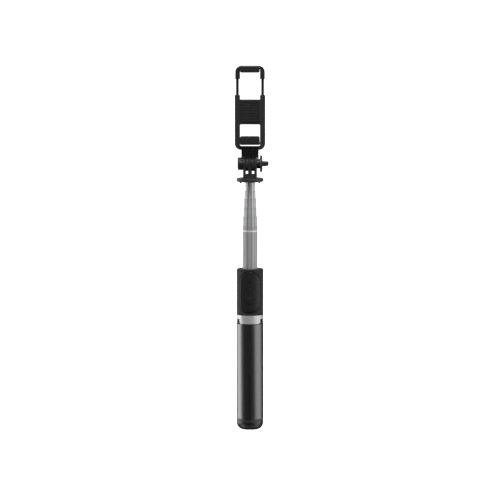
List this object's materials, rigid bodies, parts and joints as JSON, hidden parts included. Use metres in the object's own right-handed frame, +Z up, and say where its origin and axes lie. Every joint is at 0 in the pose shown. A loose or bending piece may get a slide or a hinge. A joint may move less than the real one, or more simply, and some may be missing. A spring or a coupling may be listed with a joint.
{
  "type": "selfie stick",
  "caption": "Folding selfie stick: telescopic steel pole on a three-leg handle, pull-out remote, swivelling tilt hinge and a sliding phone clamp with fold-in jaws",
  "frame": {"origin": "pole axis at the bottom of the closed feet", "axes": "+Z up along the pole, -Y towards the remote and the phone side, +X towards the tilt knob"},
  "size_m": [0.0342, 0.0301, 0.371],
  "materials": {
    "anodised_shell": "satin black anodised",
    "satin_collar": "satin grey",
    "brushed_tube": "drawn and brushed",
    "casing_plastic": "matte",
    "inner_plastic": "matte",
    "rubber_pad": "matte",
    "steel_hardware": "plain",
    "circuit_board": "solder mask",
    "clear_lens": "polished"
  },
  "bodies": {
    "head": {"leg_collar": "satin_collar", "head_shell": "casing_plastic", "head_cap": "casing_plastic", "pole_guide": "inner_plastic", "collar_screw_1": "steel_hardware", "collar_screw_2": "steel_hardware", "leg_pin_a": "steel_hardware", "leg_pin_b": "steel_hardware", "leg_pin_c": "steel_hardware"},
    "leg_a": {"leg_shell_a": "anodised_shell", "leg_core_a": "inner_plastic", "foot_a": "casing_plastic"},
    "leg_b": {"leg_shell_b": "anodised_shell", "leg_core_b": "inner_plastic", "foot_b": "casing_plastic"},
    "leg_c": {"leg_shell_c": "anodised_shell", "leg_core_c": "inner_plastic", "foot_c": "casing_plastic"},
    "section_1": {"tube_1": "brushed_tube", "tube_plug_1": "inner_plastic"},
    "section_2": {"tube_2": "brushed_tube", "tube_plug_2": "inner_plastic"},
    "section_3": {"tube_3": "brushed_tube", "tube_plug_3": "inner_plastic"},
    "section_4": {"tube_4": "brushed_tube", "tube_plug_4": "inner_plastic"},
    "section_5": {"tube_5": "brushed_tube", "tube_plug_5": "inner_plastic"},
    "section_6": {"tube_6": "brushed_tube", "tube_plug_6": "inner_plastic", "pole_top_stud": "steel_hardware"},
    "swivel": {"hinge_base": "casing_plastic", "index_pin_left": "steel_hardware", "index_pin_right": "steel_hardware", "swivel_grub_screw": "steel_hardware", "nut_cap": "casing_plastic", "hinge_nut": "steel_hardware"},
    "knob": {"tilt_knob": "casing_plastic", "tilt_bolt": "steel_hardware"},
    "clamp": {"clamp_body": "casing_plastic", "back_pad": "rubber_pad", "lower_hook_pin": "steel_hardware", "jaw_spring_left": "steel_hardware", "jaw_spring_right": "steel_hardware"},
    "lower_jaw": {"lower_hook": "casing_plastic", "lower_hook_pad": "rubber_pad"},
    "slider": {"clamp_slider": "casing_plastic", "upper_hook_pin": "steel_hardware"},
    "upper_jaw": {"upper_hook": "casing_plastic", "upper_hook_pad": "rubber_pad"},
    "remote": {"remote_cover": "casing_plastic", "remote_base": "inner_plastic", "remote_board": "circuit_board", "coin_cell": "steel_hardware", "shutter_switch": "steel_hardware", "led_lens": "clear_lens"},
    "button": {"shutter_button": "casing_plastic"}
  },
  "joints": [
    {"name": "leg_a_fold", "type": "hinge", "parent": "head", "child": "leg_a", "pos_m": [-0.01031, -0.00595, 0.1117], "axis": [-0.5, 0.866, 0], "range_deg": [0, 60]},
    {"name": "leg_b_fold", "type": "hinge", "parent": "head", "child": "leg_b", "pos_m": [0.01031, -0.00595, 0.1117], "axis": [-0.5, -0.866, 0], "range_deg": [0, 60]},
    {"name": "leg_c_fold", "type": "hinge", "parent": "head", "child": "leg_c", "pos_m": [0, 0.0119, 0.1117], "axis": [1, 0, 0], "range_deg": [0, 60]},
    {"name": "section_1_slide", "type": "slide", "parent": "head", "child": "section_1", "axis": [0, 0, 1], "range_m": [-0.0425, 0.067]},
    {"name": "section_2_slide", "type": "slide", "parent": "section_1", "child": "section_2", "axis": [0, 0, 1], "range_m": [-0.0098, 0.1]},
    {"name": "section_3_slide", "type": "slide", "parent": "section_2", "child": "section_3", "axis": [0, 0, 1], "range_m": [-0.0093, 0.095]},
    {"name": "section_4_slide", "type": "slide", "parent": "section_3", "child": "section_4", "axis": [0, 0, 1], "range_m": [-0.0091, 0.088]},
    {"name": "section_5_slide", "type": "slide", "parent": "section_4", "child": "section_5", "axis": [0, 0, 1], "range_m": [-0.0076, 0.082]},
    {"name": "section_6_slide", "type": "slide", "parent": "section_5", "child": "section_6", "axis": [0, 0, 1], "range_m": [-0.0083, 0.073]},
    {"name": "swivel_turn", "type": "hinge", "parent": "section_6", "child": "swivel", "pos_m": [0, 0, 0.2547], "axis": [0, 0, 1], "continuous": true},
    {"name": "knob_turn", "type": "hinge", "parent": "swivel", "child": "knob", "pos_m": [0, 0, 0.2711], "axis": [1, 0, 0], "continuous": true},
    {"name": "clamp_tilt", "type": "hinge", "parent": "swivel", "child": "clamp", "pos_m": [0, 0, 0.2711], "axis": [1, 0, 0], "range_deg": [-90, 90]},
    {"name": "lower_jaw_fold", "type": "hinge", "parent": "clamp", "child": "lower_jaw", "pos_m": [0, 0.0006, 0.2919], "axis": [-1, 0, 0], "range_deg": [0, 90]},
    {"name": "jaw_slide", "type": "slide", "parent": "clamp", "child": "slider", "axis": [0, 0, 1], "range_m": [-0.016, 0.018], "deforming": ["jaw_spring_left", "jaw_spring_right"]},
    {"name": "upper_jaw_fold", "type": "hinge", "parent": "slider", "child": "upper_jaw", "pos_m": [0, -0.0012, 0.369], "axis": [1, 0, 0], "range_deg": [0, 90]},
    {"name": "remote_release", "type": "slide", "parent": "head", "child": "remote", "axis": [0, -1, 0], "range_m": [0, 0.02]},
    {"name": "shutter_press", "type": "slide", "parent": "remote", "child": "button", "axis": [0, 1, 0], "range_m": [0, 0.0005], "stiffness_N_per_m": 800, "springref_m": -0.0003}
  ]
}
